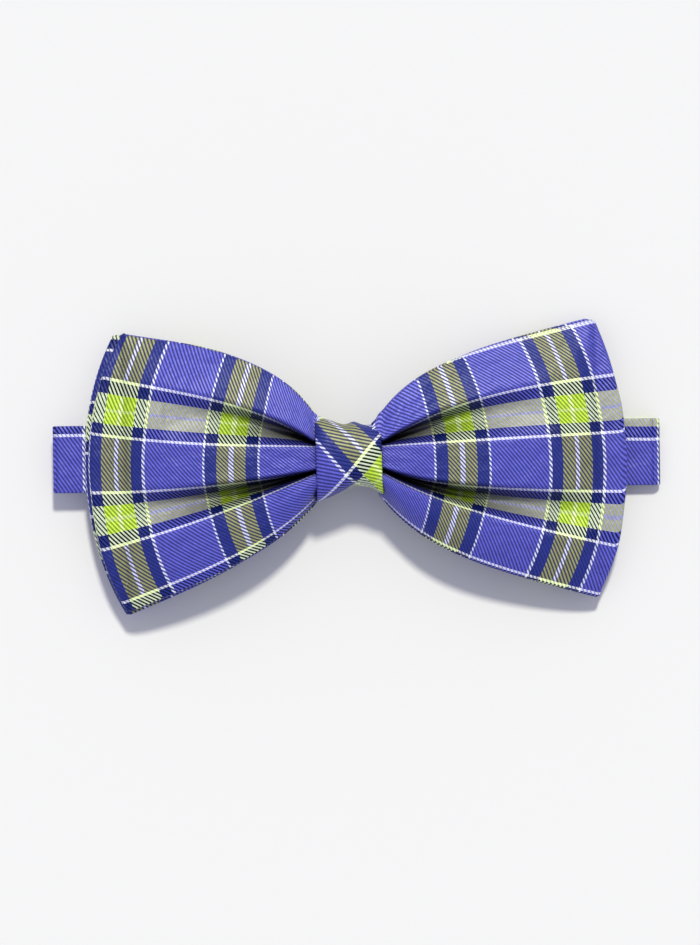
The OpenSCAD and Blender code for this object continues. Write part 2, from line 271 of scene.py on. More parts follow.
def knots_across(d, side):
    """Heights on Y of six lines of the strip at distance d from the knot: its top edge, the two lips of the
    upper pleat, the two lips of the lower pleat and its bottom edge."""
    q = beyond(d)
    out = np.clip((d - 4.6) / 3.0, 0, 1)
    out = out * out * (3 - 2 * out)
    top = 5.8 + 4.0 * out + 9.0 * settle(q, 7.2 if side < 0 else 9) + (0.225 if side < 0 else 0.215) * q
    low_spread, low_slope = (8.1, 0.36) if side < 0 else (10.0, 0.27)
    bottom = -(4.3 + 5.5 * out + low_spread * settle(q, 10.5) + low_slope * q)
    if side < 0:
        second = 2.7 + 3.9 * (q / 49) ** 2.2
        first = second + 0.7 + 12.6 * settle(q, 16.5) + 0.8 * (q / 49) ** 3
        third = second - 5.7 - 0.145 * q
        fourth = third - 0.5 - 0.27 * q
        top = top + 1.0 * np.exp(-((q - 24) / 14) ** 2)
    else:
        second = 2.4 + 1.7 * (q / 53) ** 1.2
        first = second + 0.7 + 13.6 * settle(q, 22)
        third = second - 5.4 - 5.5 * settle(q, 16) - 0.045 * q
        fourth = third - 0.7 - 0.235 * q
    first = np.minimum(first, (0.55 + 0.2 * np.clip(q / 30, 0, 1)) * top)
    fourth = np.maximum(fourth, (0.55 + 0.1 * np.clip(q / 30, 0, 1)) * bottom)
    third = np.maximum(third, 0.45 * bottom)
    steep = 0.62 + 0.45 * np.exp(-q / 5) - 0.20 * np.clip(q / 45, 0, 1)
    upper_floor = second + steep * (first - second)
    lower_floor = fourth + (0.56 + 0.45 * np.exp(-q / 6) - 0.04 * np.clip(q / 45, 0, 1)) * (third - fourth)
    return np.stack([top, first, upper_floor, second, third, lower_floor, fourth, bottom], -1)


def depth_of(cloth_length, gap):
    """Depth of a pleat whose two walls share a length of cloth and whose lips are a gap apart."""
    return 0.5 * np.sqrt(np.maximum(0, cloth_length ** 2 - gap ** 2))


def bump(p, middle, above, below):
    """A round dip of height 1 about middle that ends at above over it and at below under it."""
    s = np.clip(np.where(p > middle, (p - middle) / above, (middle - p) / below), 0, 1)
    return (0.5 * (1 + np.cos(math.pi * s))) ** 0.8


def wing_floor(share, w, side):
    """Height of the surface that parts the front and the rear strip: it falls towards the end and corners."""
    return 8.65 - (0.15 if side < 0 else 2.75) * share - 2.4 * w * w * share


def wing_point(d0, p, p_top, side):
    """Outer face of the front ply, d0 from the knot at mid height and p across it in the plaid's measure.
    The lines along the strip fan out between the six lines of knots_across, and each pleat is as deep as
    the cloth between its lips allows."""
    w = (p - (p_top - W_PLAID / 2)) / (W_PLAID / 2)
    d = d0 - 6.8 * settle(beyond(d0), 16) * w * w
    reach = LEFT_WING if side < 0 else RIGHT_WING
    share = np.clip(beyond(d0) / (reach - 7.7), 0, 1)
    y_lines = knots_across(d, side)
    over = 2.6 * np.exp(-beyond(d) / 9)
    lip_up, lip_low = PLEAT_UP[1] + over, PLEAT_LOW[0] + over
    p_lines = [p_top, lip_up, 6.3, PLEAT_UP[0], lip_low, -19.4, PLEAT_LOW[1], p_top - W_PLAID]
    last = len(p_lines) - 2
    y = 0
    shifts = (-2.0, -1.0, 0.0, 1.0, 2.0)
    for shift in shifts:
        here = y_lines[..., 0]
        for i in range(last + 1):
            f = (p_lines[i] - (p + shift)) / (p_lines[i] - p_lines[i + 1])
            f = np.minimum(f, 1) if i < last else f
            f = np.maximum(f, 0) if i > 0 else f
            here = here + f * (y_lines[..., i + 1] - y_lines[..., i])
        y = y + here / len(shifts)
    q = beyond(d)
    deep_up = depth_of(ACROSS * lip_up, y_lines[..., 1] - y_lines[..., 3])
    deep_low = depth_of(ACROSS * (lip_low - PLEAT_LOW[1]), y_lines[..., 4] - y_lines[..., 6])
    q0 = beyond(d0)
    rest = wing_floor(share, w, side) - 0.1 + STRIP_PLY + 0.8 * settle(q0, 20)
    tall = 0.8 + 0.15 * settle(q0, 5)
    crest = rest + 0.25 + tall * np.maximum(deep_low, deep_up)
    over_top = np.clip((p - 13.4) / (p_top - 13.4), 0, 1) ** 1.2
    over_low = np.clip(((p_top - W_PLAID + 11) - p) / 11, 0, 1) ** 2
    fall = np.clip(crest - rest - 0.3, 0.6, 0.30 * (y_lines[..., 0] - y_lines[..., 1]))
    z = crest - tall * deep_up * bump(p, 7.4, 6.2 + over, 8.4) \
        - tall * deep_low * bump(p, -18.3, 6.4 + over, 8.6)
    z = z - fall * over_top - (0.6 + (0.4 if side > 0 else 0) + 5.4 * np.exp(-q / 9)) * over_low
    low = rest - 0.15
    z = np.where(z < low, low - 0.2 * np.tanh((low - z)), z)
    return np.stack([side * d, y, z], -1)


def lower_point(d0, p, p_top, side, waist_z, lift, edge_in=0.0, drawn_in=0.0):
    """A plain ply below the front ply: it has the same outline, drawn in by a share of its width at the waist,
    and its height runs from waist_z at the knot to lift above the surface that parts the two strips at the
    wing's end."""
    w = (p - (p_top - W_PLAID / 2)) / (W_PLAID / 2)
    d = d0 - 6.8 * settle(beyond(d0), 16) * w * w
    reach = LEFT_WING if side < 0 else RIGHT_WING
    share = np.clip(beyond(d0) / (reach - 7.7), 0, 1)
    lines = knots_across(d, side)
    y = np.where(w > 0, w * lines[..., 0], -w * lines[..., 7])
    y = y * (1 - edge_in / 31 - drawn_in * np.exp(-(beyond(d0) / 14) ** 2))
    blend = settle(beyond(d0), 9)
    z = waist_z * (1 - blend) + (wing_floor(share, w, side) + lift) * blend
    return np.stack([side * d, y, z], -1)


def fold_between(front, back, turns):
    """Half circles that join the end row of a front ply to the end row of the back ply below it."""
    centre, radius = (front + back) / 2, (front - back) / 2
    size = np.linalg.norm(radius, axis=-1, keepdims=True)
    out = np.zeros_like(front)
    out[..., 0] = np.sign(front[..., 0].mean())
    rows = [centre + radius * math.cos(t) + out * size * math.sin(t) for t in turns]
    return np.stack(rows)


EDGE_ROLL = 1.3              # the right wing's top edge turns under by this much at the knot


def strip_loop(front_rule, back_rule, reach, shift, step, rows_across, p_mid, u_mid, p_zero):
    """A bow strip as one loop: from behind the knot out along the back, round one end, across the front,
    round the other end and back behind the knot. Gives the grid of its outer face and each point's place in
    the plaid."""
    w = np.linspace(1, -1, rows_across)
    turns = np.linspace(0, math.pi, 9)[1:-1]
    halves = {}
    for side in (-1, 1):
        p_top = p_mid + W_PLAID / 2 + shift * side
        p = p_top - W_PLAID / 2 + w * W_PLAID / 2
        far, cut_top, cut_low = reach[side]
        end = far - cut_top * np.maximum(w, 0) ** 2 - cut_low * np.minimum(w, 0) ** 2
        d_front = np.linspace(0, 1, max(8, int(far / step)))[:, None] * end
        d_back = 0.4 + np.linspace(0, 1, max(8, int(far / (2.5 * step))))[:, None] * (end - 0.4)
        front = front_rule(d_front, p[None, :], p_top, side)
        back = back_rule(d_back, p[None, :], p_top, side)
        rim = fold_between(front[-1], back[-1], turns)
        size = np.linalg.norm(front[-1] - back[-1], axis=-1).mean() / 2
        u_rim = end[None, :] + size * turns[:, None]
        u_back = 2 * end + math.pi * size - d_back
        grid = np.concatenate([front, rim, back[::-1]])
        u = side * np.concatenate([d_front, u_rim, u_back[::-1]]) + u_mid
        out = np.concatenate([d_front, np.broadcast_to(end, u_rim.shape), d_back[::-1]])
        rolled = EDGE_ROLL * max(side, 0) * np.exp(-(out / 30) ** 2) * np.clip((p - 21) / 5, 0, 1)
        cloth = np.stack(np.broadcast_arrays(u, p[None, :] - p_zero - rolled), -1)
        halves[side] = grid, cloth
    grid = np.concatenate([halves[-1][0][::-1], halves[1][0][1:]])
    cloth = np.concatenate([halves[-1][1][::-1], halves[1][1][1:]])
    return grid, cloth


# ---------- finishes ----------

def linear(hex_colour):
    """An sRGB hex colour as linear red, green, blue and alpha."""
    parts = [int(hex_colour[i:i + 2], 16) / 255 for i in (0, 2, 4)]
    return [c / 12.92 if c <= 0.04045 else ((c + 0.055) / 1.055) ** 2.4 for c in parts] + [1.0]


def add(tree, kind, links=None, **settings):
    """A node with its settings; links maps an input's name or number to a socket or a value."""
    node = tree.nodes.new(kind)
    for key, value in settings.items():
        setattr(node, key, value)
    for key, value in (links or {}).items():
        socket = node.inputs[key]
        if isinstance(value, bpy.types.NodeSocket):
            tree.links.new(value, socket)
        else:
            socket.default_value = value
    return node


def math_node(tree, operation, *values, clamp=False):
    """The result of one sum on sockets or numbers."""
    node = add(tree, "ShaderNodeMath", dict(enumerate(values)), operation=operation, use_clamp=clamp)
    return node.outputs[0]


def new_material(name):
    """An empty material with its output node."""
    material = bpy.data.materials.new(name)
    material.use_nodes = True
    material.node_tree.nodes.clear()
    out = add(material.node_tree, "ShaderNodeOutputMaterial")
    return material, material.node_tree, out


def colour_steps(tree, value, steps):
    """A ramp of flat colours: each begins at its place and holds to the next."""
    node = add(tree, "ShaderNodeValToRGB", {0: value})
    node.color_ramp.interpolation = "CONSTANT"
    elements = node.color_ramp.elements
    while len(elements) < len(steps):
        elements.new(0.5)
    for element, (place, colour) in zip(elements, steps):
        element.position = place
        element.color = linear(colour)
    return node.outputs[0]


RIB_PAINTED_LIGHT, RIB_PAINTED_SHADE = 1.6, 0.42    # painted highlight on a rib's crest and painted shade in the hollow beside it, as factors on the colour
YARN_LAVENDER = "5152b6"
YARN_NAVY = "0a1c68"
NAVY_UNDER = "363fa0"         # lavender weft between navy floats
WARP_WHITE, WEFT_WHITE = "d2d6ec", "ffffff"
WARP_KHAKI, WEFT_KHAKI = "8c8e50", "e6e8a4"
WARP_UNDER, WEFT_UNDER = "7174a4", "50527e"    # lavender yarns as they look beside the lime ones
YARN_LIME = "b4d640"
CORE_WHITE = "cdd0ee"        # the fine line in the middle of each lime stripe
CROSSING_LIGHT, CROSSING_DARK = "bcc8ae", "0e1a12"
CROSSING_PALE = "dcebb0"     # where a lime stripe crosses a white line


def plaid_twill(name, painted_pleat_shade=False):
    """Yarn-dyed cotton plaid in two-and-two twill. Four lengthways yarns or four crossways yarns make one
    diagonal rib, 0.7 mm from the next. The lengthways floats stand proud and the crossways floats lie in the
    hollows between the ribs; the colour has a painted highlight on each crest and painted shade in each hollow.
    The cotton has a soft white lustre. painted_pleat_shade is for cloth whose deep pleats stay as they are: an
    occlusion node paints shade into its colour and dims its lustre inside them."""
    material, tree, out = new_material(name)
    place = add(tree, "ShaderNodeUVMap", uv_map="cloth").outputs[0]
    parts = add(tree, "ShaderNodeSeparateXYZ", {0: place})
    u, p = parts.outputs[0], parts.outputs[1]

    def yarn_place(coordinate, pitch):
        """The middle of the yarn that a place is on."""
        count = math_node(tree, "FLOOR", math_node(tree, "DIVIDE", coordinate, pitch))
        return math_node(tree, "MULTIPLY", math_node(tree, "ADD", count, 0.5), pitch)

    def from_lime(coordinate):
        """Distance from the middle of the nearest lime stripe, as a share of half the repeat."""
        turns = math_node(tree, "ADD", math_node(tree, "DIVIDE", coordinate, REPEAT), 0.5)
        share = math_node(tree, "SUBTRACT", math_node(tree, "FRACT", turns), 0.5)
        return math_node(tree, "MULTIPLY", math_node(tree, "ABSOLUTE", share), 2.0)

    def striped(share, khaki, white):
        """The colours of one set of yarns across the repeat."""
        colours = [CORE_WHITE, khaki, YARN_NAVY, white, YARN_LAVENDER]
        return colour_steps(tree, share, list(zip(edges, colours)))

    def within(share, stripe):
        """1 inside one stripe of the repeat, else 0. Stripes 0 to 4 are the fine line, the lime on both sides
        of it, the navy, the white line and the plain lavender."""
        low, high = (edges + [1.0])[stripe] - (0.001 if stripe == 0 else 0), (edges + [1.0])[stripe + 1]
        above = math_node(tree, "GREATER_THAN", share, low)
        return math_node(tree, "MULTIPLY", above, math_node(tree, "LESS_THAN", share, high))

    def painted(under, where, other_where, over):
        """A colour with another over it where both masks are 1."""
        mask = math_node(tree, "MULTIPLY", where, other_where)
        return add(tree, "ShaderNodeMix", {0: mask, 6: under, 7: linear(over)}, data_type="RGBA").outputs[2]

    half = REPEAT / 2
    edges = [0.0, WHITE_CORE / half, LIME_EDGE / half, NAVY_EDGE / half, WHITE_EDGE / half]
    u_share, p_share = from_lime(yarn_place(u, WARP)), from_lime(yarn_place(p, WEFT))
    warp, weft = striped(u_share, WARP_KHAKI, WARP_WHITE), striped(p_share, WEFT_KHAKI, WEFT_WHITE)
    stripes = [[within(share, i) for i in range(5)] for share in (u_share, p_share)]
    (core_u, lime_u, navy_u, white_u, plain_u), (core_p, lime_p, navy_p, white_p, plain_p) = stripes
    band_u, band_p = (math_node(tree, "ADD", core, lime) for core, lime in ((core_u, lime_u), (core_p, lime_p)))
    for line, where, over in ((band_u, navy_p, CROSSING_LIGHT), (navy_u, band_p, CROSSING_DARK),
                              (band_u, white_p, CROSSING_PALE), (white_u, band_p, CROSSING_PALE),
                              (core_u, band_p, CROSSING_PALE), (lime_u, band_p, YARN_LIME),
                              (plain_u, band_p, WARP_UNDER)):
        warp = painted(warp, line, where, over)
    for line, where, over in ((band_p, navy_u, CROSSING_LIGHT), (navy_p, band_u, CROSSING_DARK),
                              (band_p, white_u, CROSSING_PALE), (white_p, band_u, CROSSING_PALE),
                              (core_p, band_u, CROSSING_PALE), (lime_p, band_u, YARN_LIME),
                              (plain_p, band_u, WEFT_UNDER), (plain_p, navy_u, NAVY_UNDER)):
        weft = painted(weft, line, where, over)

    # the rib's profile: 1 on the crest of a lengthways float, 0 in the middle of a crossways one
    u_turn, p_turn = math_node(tree, "DIVIDE", u, 4 * WARP), math_node(tree, "DIVIDE", p, 4 * WEFT)
    turn = math_node(tree, "MULTIPLY", math_node(tree, "ADD", u_turn, p_turn), math.tau)
    rib = math_node(tree, "MULTIPLY_ADD", math_node(tree, "COSINE", turn), 0.5, 0.5)
    warp_up = math_node(tree, "MULTIPLY_ADD", math_node(tree, "SUBTRACT", rib, 0.5), 4.0, 0.5, clamp=True)
    lime_on_navy = math_node(tree, "MULTIPLY", band_p, navy_u)
    navy_cell = math_node(tree, "ADD", lime_on_navy, math_node(tree, "MULTIPLY", band_u, navy_p))
    stray = math_node(tree, "MULTIPLY_ADD", navy_cell, -0.12, 0.12)
    warp_up = math_node(tree, "ADD", stray, math_node(
        tree, "MULTIPLY", warp_up, math_node(tree, "MULTIPLY_ADD", stray, -2.0, 1.0)))
    pale_weft = math_node(tree, "MULTIPLY", math_node(tree, "MULTIPLY_ADD", white_p, 0.5, lime_on_navy),
                          math_node(tree, "SUBTRACT", 1.0, warp_up))
    colour = add(tree, "ShaderNodeMix", {0: warp_up, 6: weft, 7: warp}, data_type="RGBA").outputs[2]

    # each yarn is a little lighter or darker than the next
    which = add(tree, "ShaderNodeCombineXYZ", {0: yarn_place(u, WARP), 1: yarn_place(p, WEFT)}).outputs[0]
    speck = add(tree, "ShaderNodeTexWhiteNoise", {"Vector": which}, noise_dimensions="3D").outputs[0]
    slub = add(tree, "ShaderNodeTexNoise", {"Vector": place, "Scale": 0.35, "Detail": 2.0},
               noise_dimensions="2D").outputs[0]
    # painted highlight on the rib crests and painted shade in the hollows, lessened for pale crossways yarns; then
    # random tone per yarn and in patches
    shade = math_node(tree, "MULTIPLY_ADD", rib, RIB_PAINTED_LIGHT - RIB_PAINTED_SHADE, RIB_PAINTED_SHADE)
    shade = math_node(tree, "MULTIPLY", shade, math_node(tree, "MULTIPLY_ADD", pale_weft, 1.7, 1.0))
    shade = math_node(tree, "MULTIPLY", shade, math_node(tree, "MULTIPLY_ADD", speck, 0.24, 0.88))
    shade = math_node(tree, "MULTIPLY", shade, math_node(tree, "MULTIPLY_ADD", slub, 0.24, 0.88))
    open_sky = 1.0
    # painted shade: an occlusion node darkens the colour where other cloth is close, deepest in the pleats, and
    # dims the lustre below with it
    if painted_pleat_shade:
        open_sky = add(tree, "ShaderNodeAmbientOcclusion", {"Distance": 0.008}, samples=8).outputs["AO"]
        shade = math_node(tree, "MULTIPLY", shade, math_node(tree, "POWER", open_sky, 1.4))
    shaded = add(tree, "ShaderNodeVectorMath", {0: colour, "Scale": shade}, operation="SCALE").outputs[0]

    lift = add(tree, "ShaderNodeBump", {"Height": rib, "Strength": 0.35, "Distance": 0.00010}).outputs[0]
    lustre = math_node(tree, "MULTIPLY", open_sky, math_node(tree, "MULTIPLY_ADD", rib, 1.7, 0.15))
    soft = add(tree, "ShaderNodeTexNoise", {"Vector": place, "Scale": 0.16, "Detail": 3.0},
               noise_dimensions="2D").outputs[0]
    rumple = add(tree, "ShaderNodeBump", {"Height": soft, "Strength": 1.0, "Distance": 0.0006,
                                          "Normal": lift}).outputs[0]
    tint = add(tree, "ShaderNodeMix", {0: 0.7, 6: (1, 1, 1, 1), 7: colour}, data_type="RGBA").outputs[2]
    shader = add(tree, "ShaderNodeBsdfPrincipled", {
        "Base Color": shaded, "Normal": rumple, "Roughness": 0.45, "Specular IOR Level": lustre,
        "Specular Tint": tint})
    tree.links.new(shader.outputs[0], out.inputs[0])
    return material


twill = plaid_twill("yarn_dyed_cotton_twill")
# the same twill with painted shade in its pleats, for the front strip and the knot
twill_with_painted_pleat_shade = plaid_twill("yarn_dyed_cotton_twill_painted_pleat_shade", painted_pleat_shade=True)


def interlining_finish():
    """Brushed cotton interlining: cream, matt, with a loose visible weave about 0.5 mm apart."""
    material, tree, out = new_material("brushed_cotton_interlining")
    place = add(tree, "ShaderNodeTexCoord").outputs["Object"]
    weave = add(tree, "ShaderNodeTexWave", {"Vector": place, "Scale": 320.0, "Distortion": 1.5},
                bands_direction="X").outputs[1]
    colour = add(tree, "ShaderNodeMix", {0: weave, 6: linear("d8d2c2"), 7: linear("efeade")},
                 data_type="RGBA").outputs[2]
    lump = add(tree, "ShaderNodeBump", {"Height": weave, "Strength": 0.3, "Distance": 0.0001}).outputs[0]
    shader = add(tree, "ShaderNodeBsdfPrincipled", {"Base Color": colour, "Normal": lump, "Roughness": 0.9,
                                                    "Sheen Weight": 0.3})
    tree.links.new(shader.outputs[0], out.inputs[0])
    return material


def thread_finish():
    """Polyester sewing thread: royal blue, slightly glossy, with a twist that shows as fine slanting lines."""
    material, tree, out = new_material("polyester_sewing_thread")
    place = add(tree, "ShaderNodeTexCoord").outputs["Object"]
    twist = add(tree, "ShaderNodeTexWave", {"Vector": place, "Scale": 900.0},
                bands_direction="DIAGONAL").outputs[1]
    colour = add(tree, "ShaderNodeMix", {0: twist, 6: linear("2c3186"), 7: linear("5a60c0")},
                 data_type="RGBA").outputs[2]
    shader = add(tree, "ShaderNodeBsdfPrincipled", {"Base Color": colour, "Roughness": 0.45})
    tree.links.new(shader.outputs[0], out.inputs[0])
    return material


def nickel_finish():
    """Nickel-plated steel, stamped and barrel-polished: bright, slightly warm, with soft fine scuffs."""
    material, tree, out = new_material("nickel_plated_steel")
    place = add(tree, "ShaderNodeTexCoord").outputs["Object"]
    scuff = add(tree, "ShaderNodeTexNoise", {"Vector": place, "Scale": 900.0, "Detail": 4.0}).outputs[0]
    rough = math_node(tree, "MULTIPLY_ADD", scuff, 0.22, 0.18)
    colour = add(tree, "ShaderNodeMix", {0: scuff, 6: linear("b9b6ae"), 7: linear("d9d7d0")},
                 data_type="RGBA").outputs[2]
    shader = add(tree, "ShaderNodeBsdfPrincipled", {"Base Color": colour, "Metallic": 1.0, "Roughness": rough})
    tree.links.new(shader.outputs[0], out.inputs[0])
    return material


lining_cloth = interlining_finish()
thread = thread_finish()
nickel = nickel_finish()


# ---------- the bow ----------

P_MID = 25.3 - W_PLAID / 2
P_LIME = 6.3                 # the middle of a lime stripe lies here across the front strip


def bow_strip(name, front_rule, back_rule, reach, step, across, p_mid, slant, u_mid, thick, turn,
              finish):
    """A bow strip's cover, a flat tube folded into a loop, and the interlining inside it. waisted is the share
    of its rectangle that is left where it is cut narrower at the waist."""
    top, cloth = strip_loop(front_rule, back_rule, reach, slant, step, across, p_mid, u_mid, P_LIME)
    top = turned_at_knot(top, turn)
    cover = thick_strip(name + "_cover", top, cloth, thick, finish, closed=True, wall=CLOTH_WALL)
    normal = surface_normals(top, closed=True)
    r = np.arange(0, top.shape[0], 2)
    c = np.arange(2, top.shape[1] - 2, 2)
    inner, inner_cloth = (top - normal * (thick - LINING) / 2)[r][:, c], cloth[r][:, c]
    lining = thick_strip(name + "_interlining", inner, inner_cloth, LINING, lining_cloth, closed=True)
    for piece, slot_name in ((cover, "plaid_twill"), (lining, "interlining")):
        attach(piece, "bow")
        stand_in(piece)
    return cover, lining


def front_back_ply(d0, p, p_top, side):
    """The front strip's own back ply."""
    return lower_point(d0, p, p_top, side, 7.7, 0.05)


def rear_front_ply(d0, p, p_top, side):
    """The rear strip's upper ply."""
    return lower_point(d0, p, p_top, side, 7.0, -0.12, edge_in=-0.2, drawn_in=0.17)


def rear_back_ply(d0, p, p_top, side):
    """The rear strip's lower ply."""
    return lower_point(d0, p, p_top, side, 6.2, -1.85, edge_in=-0.2, drawn_in=0.17)


bow_strip("front_bow", wing_point, front_back_ply, {-1: (57.0, 1.0, 0.5), 1: (60.6, -1.2, -0.6)}, 0.6, 131,
          P_MID, 0.9, 0.5, STRIP_PLY, BOW_TURN, twill_with_painted_pleat_shade)
bow_strip("rear_bow", rear_front_ply, rear_back_ply, {-1: (58.1, 0.5, 1.4), 1: (59.8, -0.8, 0.2)}, 1.0, 70,
          27.4 - W_PLAID / 2, -2.4, 1.6, REAR_PLY, BOW_TURN + REAR_TURN, twill)


# ---------- the knot ----------

KNOT_PLY = 0.75
KNOT_TOP, KNOT_BOTTOM = 16.9, 4.2


def knot_top_edge(x):
    """The knot's upper outline: it climbs to its left corner, with a small swelling right of the middle."""
    climb = 0.21 * (np.sqrt((x + 1) ** 2 + 1) - (x + 1))
    return 7.05 + climb + 0.75 * np.exp(-((x - 1.2) / 1.4) ** 2)


def knot_bottom_edge(x):
    """The knot's lower outline: drawn in most a little right of the middle, lowest at its left corner."""
    left = 0.215 * (np.sqrt((x - 1) ** 2 + 1) - (x - 1))
    right = 0.0368 * np.clip(x - 1.6, 0, 5.7) ** 2.45
    return -(6.45 + left + right)


def knot_surface(half_width, rows, columns, inset=0.0):
    """The knot's outer face, a loop round the waist: each cross-section is a flat oval between the two
    outlines, and the face rolls down at the two edges."""
    x = np.linspace(-half_width, half_width, columns)[None, :]
    turn = np.linspace(1.5 * math.pi, -0.5 * math.pi, rows, endpoint=False)[:, None]
    roll = 0.75 * np.abs(x / 7.3) ** 7 + 0.25 * (x / 7.3) ** 2
    y_mid = (knot_top_edge(x) + knot_bottom_edge(x)) / 2
    y_half = (knot_top_edge(x) - knot_bottom_edge(x)) / 2 - inset - 0.3 * np.abs(x / 7.3) ** 7
    z_top, z_low = KNOT_TOP - roll - inset, KNOT_BOTTOM + inset + 0.4 * roll
    power = 2 / 2.5
    c, s = np.cos(turn), np.sin(turn)
    y = y_mid + y_half * np.sign(c) * np.abs(c) ** power
    z = (z_top + z_low) / 2 + (z_top - z_low) / 2 * np.sign(s) * np.abs(s) ** power
    points = np.stack(np.broadcast_arrays(x, y, z), -1)
    step = np.linalg.norm(np.diff(points, axis=0), axis=-1)
    run = np.concatenate([np.zeros((1, columns)), np.cumsum(step, axis=0)])
    top_row = rows // 2
    along = run - run[top_row] + y[top_row]
    a = 0.773 * points[..., 0] + 0.635 * along
    b = 0.766 * points[..., 0] - 0.643 * along
    cloth = np.stack([a - 3.0, 8.4 - b], -1)
    return turned_at_knot(points, BOW_TURN), cloth


top, cloth = knot_surface(7.15, 140, 47)
knot_cover = thick_strip("knot_cover", top, cloth, KNOT_PLY, twill_with_painted_pleat_shade, closed=True)
top, cloth = knot_surface(6.3, 70, 18, inset=KNOT_PLY + 0.05)
knot_interlining = thick_strip("knot_interlining", top, cloth, 0.35, lining_cloth, closed=True)
for piece, slot_name in ((knot_cover, "plaid_twill"), (knot_interlining, "interlining")):
    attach(piece, "bow")
    stand_in(piece)


def waist_turns():
    """Nine turns of thread, wound side by side round the waist as one closed spiral."""
    turns, steps = 9, 44
    t = np.linspace(0, 1, turns * steps, endpoint=False)
    angle = 2 * math.pi * turns * t
    x = 1.7 * np.sin(2 * math.pi * t) + 0.1 * np.sin(angle * 0.5)
    c, s = np.cos(angle), np.sin(angle)
    y = 0.1 + 5.3 * np.sign(c) * np.abs(c) ** 0.85
    z = 10.3 + 4.7 * np.sign(s) * np.abs(s) ** 0.85 + 0.12 * np.sin(7 * math.pi * t)
    return turned_at_knot(np.stack([x, y, z], -1), BOW_TURN)


waist = joined("waist_thread", [tube(waist_turns(), THREAD, closed=True, sides=8)], thread)
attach(waist, "bow")
stand_in(waist)


def stitch(x, y, z, dx, dy, lift):
    """One short stitch lying on a face at height z: its ends go into the cloth."""
    t = np.linspace(-1, 1, 9)
    return np.stack([x + dx * t / 2, y + dy * t / 2, z + lift * (0.75 - 1.3 * t ** 4)], -1)


knot_stitches = joined("knot_back_stitches", [
    tube(turned_at_knot(stitch(i * 2.2, 0.4, 4.12, 1.5, 2.1, -0.24), BOW_TURN), THREAD)
    for i in range(-3, 4)], thread)
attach(knot_stitches, "bow")
stand_in(knot_stitches)


# ---------- the band ----------

def half_ring(x, z_from, z_to, side, steps=14):
    """Middle line of a fold from one height to another: a half circle that bulges to the given side."""
    turn = np.linspace(0, math.pi, steps)
    radius = (z_from - z_to) / 2
    return [(x + side * abs(radius) * math.sin(t), (z_from + z_to) / 2 + radius * math.cos(t)) for t in turn]


def eased(points, step=1.0):
    """A path of [x, z] points with its corners eased, sampled about every step."""
    p = np.array(points, float)
    for _ in range(3):
        if len(p) > 2:
            inner = np.stack([0.75 * p[:-1] + 0.25 * p[1:], 0.25 * p[:-1] + 0.75 * p[1:]], 1).reshape(-1, 2)
            p = np.concatenate([p[:1], inner[1:-1], p[-1:]])
    run = np.concatenate([[0], np.cumsum(np.linalg.norm(np.diff(p, axis=0), axis=1))])
    places = np.linspace(0, run[-1], max(3, int(run[-1] / step)))
    return np.stack([np.interp(places, run, p[:, i]) for i in (0, 1)], -1)


def band_cloth(u, x, y):
    """Place in the plaid of a point of the band: the stripes run a degree off its length."""
    shear = 2.6 * np.clip((x + 62) / 127, 0, 1)
    return np.stack([u, (y - 7.7 + shear) * 1.03 - P_LIME], -1)


def band_ply(name, path, u_start, way, hollow=False, wide=None, thick=BAND_PLY, material=None):
    """A ply of the band that follows a path of its middle line. u_start is its first point's place along the
    plaid, and way is 1 where the place grows along the path. The knot draws the centre ply in by a fifth."""
    path = np.asarray(path, float)
    tangent = np.gradient(path, axis=0)
    tangent /= np.linalg.norm(tangent, axis=1, keepdims=True)
    face = path + np.stack([-tangent[:, 1], tangent[:, 0]], -1) * thick / 2
    half = (wide or BAND_W) / 2 - thick / 2
    y = BAND_Y + np.linspace(half, -half, 13)
    x, yy = np.broadcast_arrays(face[:, :1], y[None, :])
    if name.startswith("band_centre"):
        yy = BAND_Y + (yy - BAND_Y) * (1 - 0.21 * np.exp(-((x - KNOT[0] - 0.8) / 4.5) ** 2))
    top = np.stack([x, yy, np.broadcast_to(face[:, 1:], x.shape)], -1)
    run = np.concatenate([[0], np.cumsum(np.linalg.norm(np.diff(path, axis=0), axis=1))])
    u = np.broadcast_to((u_start + way * run)[:, None], x.shape)
    piece = thick_strip(name, top, band_cloth(u, x, yy), thick, material or twill, wall=BAND_WALL if hollow else 0)
    return piece, u_start + way * run[-1]


CENTRE = [(-67.35, 5.75), (8, 5.75), (60, 3.0), (66.35, 3.0)]
CENTRE_U = -67.35 + 54.9
STUB_Z = 0.92
RETURN = [(66.35, 0.3), (46, 0.3), (42, STUB_Z), (32, STUB_Z), (27.5, 2.05), (24, 2.05)]


def lined_ply(name, path, u_start, way, body):
    """A hollow ply and the interlining that fills it."""
    cover, u_end = band_ply(name + "_cover", path, u_start, way, hollow=True)
    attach(cover, body)
    stand_in(cover)
    lining, _ = band_ply(name + "_interlining", path, u_start, way, wide=BAND_W - 0.6, thick=BAND_LINING,
                         material=lining_cloth)
    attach(lining, body)
    stand_in(lining)
    return u_end


def fold_ply(name, x, z_from, z_to, side, u_start, way):
    """A fold of the band: a half circle of [x, z] points from z_from to z_to, bulging to side, with its transform
    baked into the mesh.
    """
    piece, u_end = band_ply(name, half_ring(x, z_from, z_to, side), u_start, way)
    stand_in(piece)
    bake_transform(piece)
    return u_end


def single_ply(name, path, u_start, way, bodies):
    """A plain ply, attached to one body, or, when given two, left unattached with its transform baked into the
    mesh.
    """
    piece, u_end = band_ply(name, path, u_start, way)
    stand_in(piece)
    if len(bodies) == 1:
        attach(piece, bodies[0])
    else:
        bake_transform(piece)
    return piece, u_end


u = lined_ply("band_centre", eased(CENTRE), CENTRE_U, 1, "bow")
u = fold_ply("right_fold", 66.35, 3.0, 0.3, 1, u, 1)
u = lined_ply("right_return", eased(RETURN, 0.8), u, 1, "right_return")
loop_path = half_ring(24, 2.05, 0.3, -1) + [(25, 0.3), (30, 0.3), (36, 0.3)]
eye_loop, _ = single_ply("eye_loop", loop_path, u, 1, ["right_return"])

